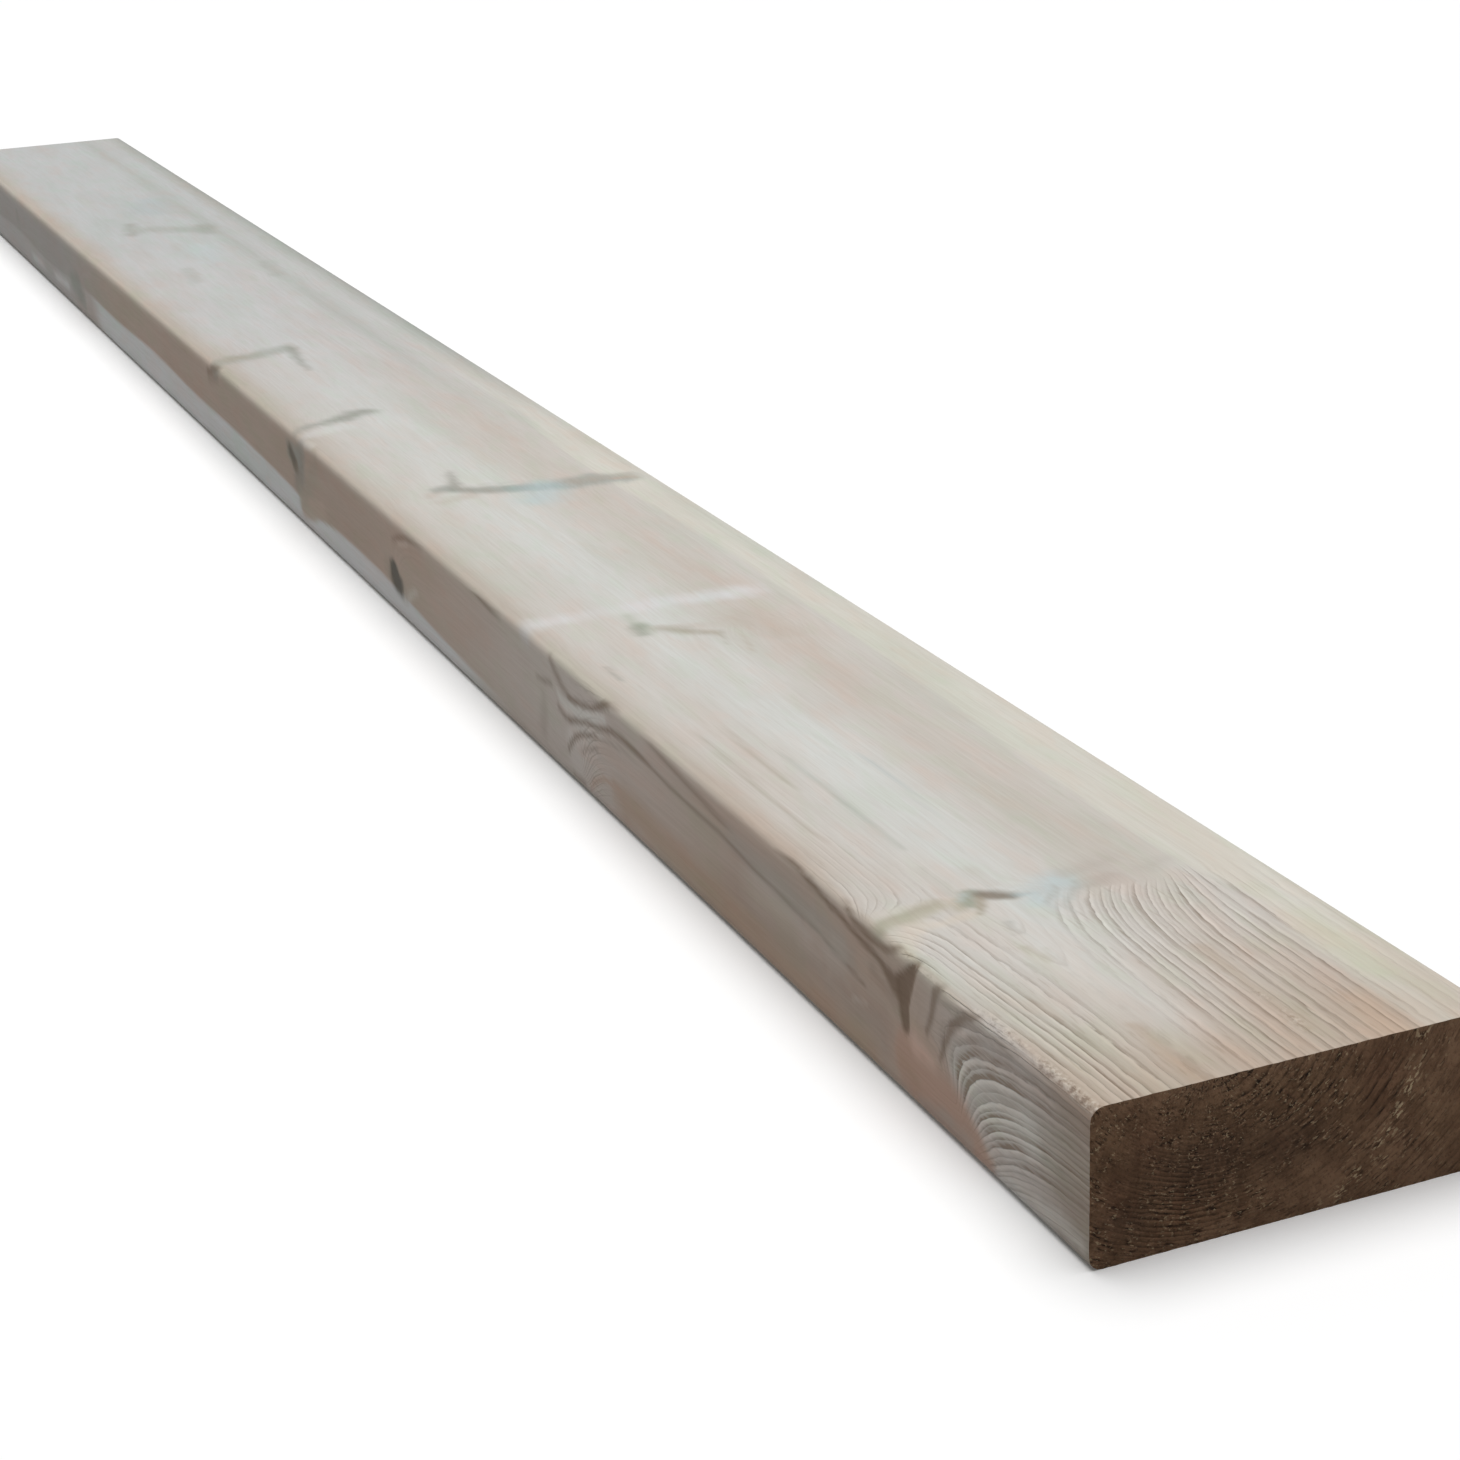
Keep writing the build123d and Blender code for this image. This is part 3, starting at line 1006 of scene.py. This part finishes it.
LIFTED_LEVELS = (0.54, 0.64)
SPECK_LEVELS = (0.57, 0.66)
SPECK_LUMPS = (0.44, 0.58, 0.1, 0.65)
TUFT_LEVELS = (0.52, 0.6)
TUFT_LUMPS = (0.38, 0.54)

# Ring lines, shades and strengths of the planed faces
STREAK_WOBBLE = 0.4
JITTER_WOBBLE = 0.34
LINE_BEGIN = (-0.36, 0.82)
LINE_BEGIN_LEAST = 0.36
SECOND_LINE = 0.48
LINE_DARK = (0.42, 0.35, 0.29)
# Painted highlight: the pale earlywood beside each ring line is lightened further, as if its raised grain
# caught the light
EARLY_HIGHLIGHT = (1.32, 1.32, 1.32)
EARLY_SHARE = 0.8
DASH_DARK = (0.62, 0.55, 0.48)
# Painted shadow of the torn fibre along the arrises
TORN_FIBRE_SHADOW = (0.42, 0.36, 0.31)
TORN_SHARE = 0.7
RAISED_SHARE = 0.55

# Ring lines, shades and strengths of the sawn ends. A rise and a least amount make a pair
CLOUD_WOBBLE = 0.6
END_LINE_BEGIN = 0.5
RIPPLES = 1.9
RIPPLE_BEGIN = 0.4
END_LINE_DARK = (0.2, 0.17, 0.15)
# Painted highlight on the crests of the ripples in the rippled patches of the sawn ends
CREST_HIGHLIGHT = (1.45, 1.42, 1.38)
# Painted shade in the troughs of those ripples
RIPPLE_SHADE = (0.36, 0.32, 0.28)
ARC_SHARES = (0.8, 0.2)
PIT_SHARES = (0.75, 0.25)
LIFTED_SHARES = (0.8, 0.12)
FIBRE_SHARES = (0.8, 0.2)
FLECK_SHARE = 0.7

# Fine relief of the materials: its depth in metres and its strength
RIDGE_BUMP = (0.00035, 0.7)
FUZZ_BUMP = (0.0001, 0.4)
CURL_BUMP = (0.0009, 0.9)
END_RIDGE_BUMP = (0.0004, 0.5)
END_FIBRE_BUMP = (0.0012, 0.9)
GRIT_BUMP = (0.0006, 0.9)


class Nodes:
    """A short way to write the nodes of a material or of the sky."""

    def __init__(self, owner, shader="Principled BSDF"):
        owner.use_nodes = True
        self.owner = owner
        self.tree = owner.node_tree
        self.shader = self.tree.nodes[shader]

    def feed(self, socket, value):
        if isinstance(value, bpy.types.NodeSocket):
            self.tree.links.new(value, socket)
        elif value is not None:
            socket.default_value = value

    def show(self, name, value):
        """Feeds one input of the shader."""
        self.feed(self.shader.inputs[name], value)

    def add(self, kind, inputs=(), **settings):
        """A node, with its inputs given by name or by number."""
        made = self.tree.nodes.new(kind)
        for name, value in settings.items():
            setattr(made, name, value)
        for key, value in dict(inputs).items():
            self.feed(made.inputs[key], value)
        return made

    def carried(self, name, output="Fac"):
        """What the mesh carries under a name."""
        return self.add("ShaderNodeAttribute", attribute_name=name).outputs[output]

    def math(self, operation, *values):
        return self.add("ShaderNodeMath", enumerate(values), operation=operation).outputs[0]

    def times(self, first, *others):
        for other in others:
            first = self.math("MULTIPLY", first, other)
        return first

    def rising(self, value, rise, least):
        """A value scaled and raised from a least amount."""
        return self.math("MULTIPLY_ADD", value, rise, least)

    def centred(self, value, size):
        """A noise turned into a push to either side."""
        return self.rising(value, size, -size / 2)

    def object_place(self, scale):
        """Places on the plank, stretched along each axis."""
        place = self.add("ShaderNodeTexCoord").outputs["Object"]
        return self.add("ShaderNodeMapping", {"Vector": place, "Scale": scale}).outputs[0]

    def noise(self, place, texture):
        inputs = {"Vector": place, "Scale": 1.0, "Detail": texture.detail, "Roughness": texture.roughness}
        return self.add("ShaderNodeTexNoise", inputs).outputs["Fac"]

    def texture(self, texture):
        """Noise over the places on the plank."""
        return self.noise(self.object_place(texture.scale), texture)

    def grown_noise(self, first, second, texture):
        """Noise over two values, so that it follows the growth of the wood."""
        by_first, by_second, layer = texture.scale
        places = (self.times(first, by_first), self.times(second, by_second), layer)
        return self.noise(self.add("ShaderNodeCombineXYZ", enumerate(places)).outputs[0], texture)

    def between(self, value, low, high, to_low=0.0, to_high=1.0):
        """A smooth change from one value to another."""
        inputs = {"Value": value, "From Min": low, "From Max": high, "To Min": to_low, "To Max": to_high}
        return self.add("ShaderNodeMapRange", inputs, interpolation_type="SMOOTHSTEP").outputs["Result"]

    def mix(self, share, first, second, blend_type="MIX"):
        made = self.add("ShaderNodeMix", {"Factor": share}, data_type="RGBA", blend_type=blend_type)
        colours = [socket for socket in made.inputs if socket.type == "RGBA"]
        for socket, value in zip(colours, (first, second)):
            self.feed(socket, value if isinstance(value, bpy.types.NodeSocket) else (*value, 1))
        return [socket for socket in made.outputs if socket.type == "RGBA"][0]

    def shade(self, share, colour, by):
        """Multiplies a colour by another."""
        return self.mix(share, colour, by, "MULTIPLY")

    def tinted(self, colour, field, tint):
        """Tints a colour where a noise lies at some level."""
        return self.shade(self.between(field, *tint[:-1]), colour, tint.colour)

    def bump(self, height, distance, strength, under=None):
        inputs = {"Height": height, "Distance": distance, "Strength": strength, "Normal": under}
        return self.add("ShaderNodeBump", inputs).outputs["Normal"]

    def latewood(self, share, begin):
        """The dark outer part of each ring, which ends sharply."""
        return self.times(self.between(share, begin, LATE_FULL), self.between(share, *LATE_STOP))

    def earlywood(self, share):
        """The pale inner part of each ring."""
        return self.times(self.between(share, *EARLY_START), self.between(share, *EARLY_STOP))


def planed_timber():
    """Planed softwood: dark ring lines, fine fibre and a dull, greyed skin."""
    wood = Nodes(bpy.data.materials.new("planed_timber"))
    grown = wood.carried("ring")
    grain = wood.carried("grain")
    along = wood.add("ShaderNodeSeparateXYZ", {"Vector": wood.object_place((1, 1, 1))}).outputs["X"]
    streak = wood.grown_noise(along, grown, STREAK)
    pressed = wood.between(wood.grown_noise(along, grown, PRESSED), *PRESSED_LEVELS)
    fibre = wood.texture(FIBRE)
    tinge = wood.texture(TINGE)
    blotch = wood.texture(BLOTCH)
    jitter = wood.centred(wood.texture(JITTER), JITTER_WOBBLE)
    ring = wood.math("ADD", grown, wood.math("ADD", wood.centred(streak, STREAK_WOBBLE), jitter))
    share = wood.math("FRACT", ring)
    begin = wood.math("MAXIMUM", wood.rising(grain, *LINE_BEGIN), LINE_BEGIN_LEAST)
    second = wood.latewood(wood.math("FRACT", wood.math("ADD", ring, SECOND_LINE)), begin)
    years = wood.math("MAXIMUM", wood.latewood(share, begin), wood.times(second, wood.carried("second")))
    late = wood.times(years, wood.between(fibre, *BROKEN_LEVELS))
    shown = wood.times(late, grain, pressed)
    colour = wood.carried("tone", "Color")
    for field, tint in ((tinge, COOL_TINT), (tinge, WARM_TINT), (blotch, GREEN_TINT), (blotch, PINK_TINT)):
        colour = wood.tinted(colour, field, tint)
    # Pale earlywood, lightened further as a painted highlight of the raised grain beside each ring line
    colour = wood.shade(wood.times(wood.earlywood(share), grain, pressed, EARLY_SHARE), colour, EARLY_HIGHLIGHT)
    colour = wood.shade(shown, colour, LINE_DARK)
    colour = wood.tinted(colour, streak, STREAK_TINT)
    colour = wood.tinted(colour, fibre, FIBRE_TINT)
    dashes = wood.times(wood.between(wood.texture(DASH), *DASH_LEVELS), wood.between(grain, *DASH_GRAIN))
    colour = wood.shade(dashes, colour, DASH_DARK)
    colour = wood.tinted(colour, wood.texture(MOTTLE), MOTTLE_TINT)
    fray = wood.carried("fray")
    curl = wood.texture(CURL)
    # Torn fibre: dark flecks of painted shadow, and pale raised fibres in the painted arris highlight tone
    torn = wood.times(wood.between(curl, *TORN_LEVELS), fray, TORN_SHARE)
    raised = wood.times(wood.between(curl, *RAISED_LEVELS), fray, RAISED_SHARE)
    colour = wood.shade(torn, colour, TORN_FIBRE_SHADOW)
    wood.show("Base Color", wood.mix(raised, colour, ARRIS_HIGHLIGHT))
    wood.show("Roughness", wood.between(shown, *PLANED_ROUGHNESS))
    wood.show("Specular IOR Level", 0.25)
    ridges = wood.bump(wood.times(late, wood.between(grain, *RIDGE_GRAIN)), *RIDGE_BUMP)
    fuzz = wood.bump(fibre, *FUZZ_BUMP, ridges)
    wood.show("Normal", wood.bump(wood.times(curl, fray), *CURL_BUMP, fuzz))
    return wood.owner


def sawn_end():
    """Cross-cut end grain: dark, open and torn by the saw."""
    wood = Nodes(bpy.data.materials.new("sawn_end_grain"))
    grown = wood.carried("ring")
    turned = wood.carried("bearing")
    rippled = wood.carried("rippled")
    torn = wood.math("SUBTRACT", 1.0, wood.carried("smooth"))
    grit = wood.texture(GRIT)
    cloud = wood.texture(CLOUD)
    lump = wood.texture(LUMP)
    tuft, fleck, rays = (wood.grown_noise(grown, turned, texture) for texture in (TUFT, FLECK, RAYS))
    ring = wood.math("ADD", grown, wood.centred(cloud, CLOUD_WOBBLE))
    late = wood.latewood(wood.math("FRACT", ring), END_LINE_BEGIN)
    ripple = wood.math("FRACT", wood.times(ring, RIPPLES))
    colour = wood.tinted(wood.carried("sawn", "Color"), cloud, CLOUD_TINT)
    colour = wood.mix(wood.between(rays, *RAY_LEVELS), colour, END_RED)
    arced = wood.rising(wood.carried("arced"), *ARC_SHARES)
    colour = wood.shade(wood.times(late, wood.between(lump, *ARC_LUMPS), arced), colour, END_LINE_DARK)
    # Painted highlight on the crests of the ripples and painted shade in their troughs, in the rippled
    # patches
    colour = wood.shade(wood.times(wood.earlywood(ripple), rippled), colour, CREST_HIGHLIGHT)
    colour = wood.shade(wood.times(wood.latewood(ripple, RIPPLE_BEGIN), rippled), colour, RIPPLE_SHADE)
    open_grain = wood.times(torn, wood.between(lump, *OPEN_LUMPS))
    pits = wood.times(wood.between(fleck, *PIT_LEVELS), wood.rising(open_grain, *PIT_SHARES))
    colour = wood.tinted(wood.shade(pits, colour, END_LINE_DARK), grit, GRIT_TINT)
    lifted = wood.times(wood.between(fleck, *LIFTED_LEVELS), wood.rising(open_grain, *LIFTED_SHARES))
    colour = wood.mix(lifted, colour, END_LIGHT)
    specks = wood.times(wood.between(tuft, *SPECK_LEVELS), wood.between(lump, *SPECK_LUMPS), torn)
    at_edge = wood.carried("heart_edge")
    tufts = wood.times(wood.between(tuft, *TUFT_LEVELS), wood.between(lump, *TUFT_LUMPS), at_edge)
    flecks = wood.times(wood.math("MAXIMUM", specks, tufts), FLECK_SHARE)
    wood.show("Base Color", wood.mix(flecks, colour, END_FLECK))
    wood.show("Roughness", 0.9)
    wood.show("Specular IOR Level", 0.15)
    ridges = wood.bump(late, *END_RIDGE_BUMP)
    fibres = wood.bump(wood.times(fleck, wood.rising(open_grain, *FIBRE_SHARES)), *END_FIBRE_BUMP, ridges)
    wood.show("Normal", wood.bump(grit, *GRIT_BUMP, fibres))
    return wood.owner


# Studio


def seen_directly(nodes):
    """1 where the camera, a mirror or glass looks straight at the backdrop."""
    path = nodes.add("ShaderNodeLightPath").outputs
    direct = nodes.math("MAXIMUM", path["Is Camera Ray"], path["Is Glossy Ray"])
    return nodes.math("MAXIMUM", direct, path["Is Transmission Ray"])


def make_floor():
    """A pale floor that shows white but throws back less light than it shows."""
    bm = bmesh.new()
    bmesh.ops.create_grid(bm, x_segments=1, y_segments=1, size=FLOOR_SIZE / 2)
    mesh = bpy.data.meshes.new("studio_floor")
    bm.to_mesh(mesh)
    bm.free()
    floor = bpy.data.objects.new("studio_floor", mesh)
    bpy.context.scene.collection.objects.link(floor)
    pale = Nodes(bpy.data.materials.new("pale_floor"))
    direct = seen_directly(pale)
    pale.show("Base Color", pale.mix(direct, [FLOOR_BOUNCE] * 3, [FLOOR_WHITE] * 3))
    pale.show("Roughness", 1.0)
    pale.show("Specular IOR Level", 0.0)
    pale.show("Emission Color", (1, 1, 1, 1))
    pale.show("Emission Strength", pale.times(direct, FLOOR_GLOW))
    mesh.materials.append(pale.owner)


def light_studio():
    """One broad soft lamp overhead, and a plain sky."""
    sun = bpy.data.lights.new("broad_lamp", "SUN")
    sun.energy = SUN_LEVEL
    sun.angle = SUN_SPREAD
    lamp = bpy.data.objects.new("broad_lamp", sun)
    lamp.rotation_mode = "QUATERNION"
    lamp.rotation_quaternion = SUN_FROM.to_track_quat("Z", "Y")
    bpy.context.scene.collection.objects.link(lamp)
    world = bpy.data.worlds.new("studio_sky")
    bpy.context.scene.world = world
    sky = Nodes(world, "Background")
    sky.show("Color", (1, 1, 1, 1))
    sky.show("Strength", sky.between(seen_directly(sky), 0, 1, SKY_LEVEL, 1))


def place_camera():
    """The photograph's own view, low over the shown end."""
    data = bpy.data.cameras.new("photo_camera")
    data.lens = CAMERA_LENS
    data.sensor_width = CAMERA_SENSOR
    camera = bpy.data.objects.new("photo_camera", data)
    back = -CAMERA_FORWARD.normalized()
    right = (CAMERA_RIGHT - back * CAMERA_RIGHT.dot(back)).normalized()
    turn = Matrix((right, back.cross(right), back)).transposed().to_4x4()
    camera.matrix_world = Matrix.Translation(CAMERA_PLACE) @ turn
    bpy.context.scene.collection.objects.link(camera)
    bpy.context.scene.camera = camera


plank = make_plank()
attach(plank, "root")
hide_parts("plank")
make_floor()
light_studio()
place_camera()
bpy.context.scene.view_settings.view_transform = "Standard"
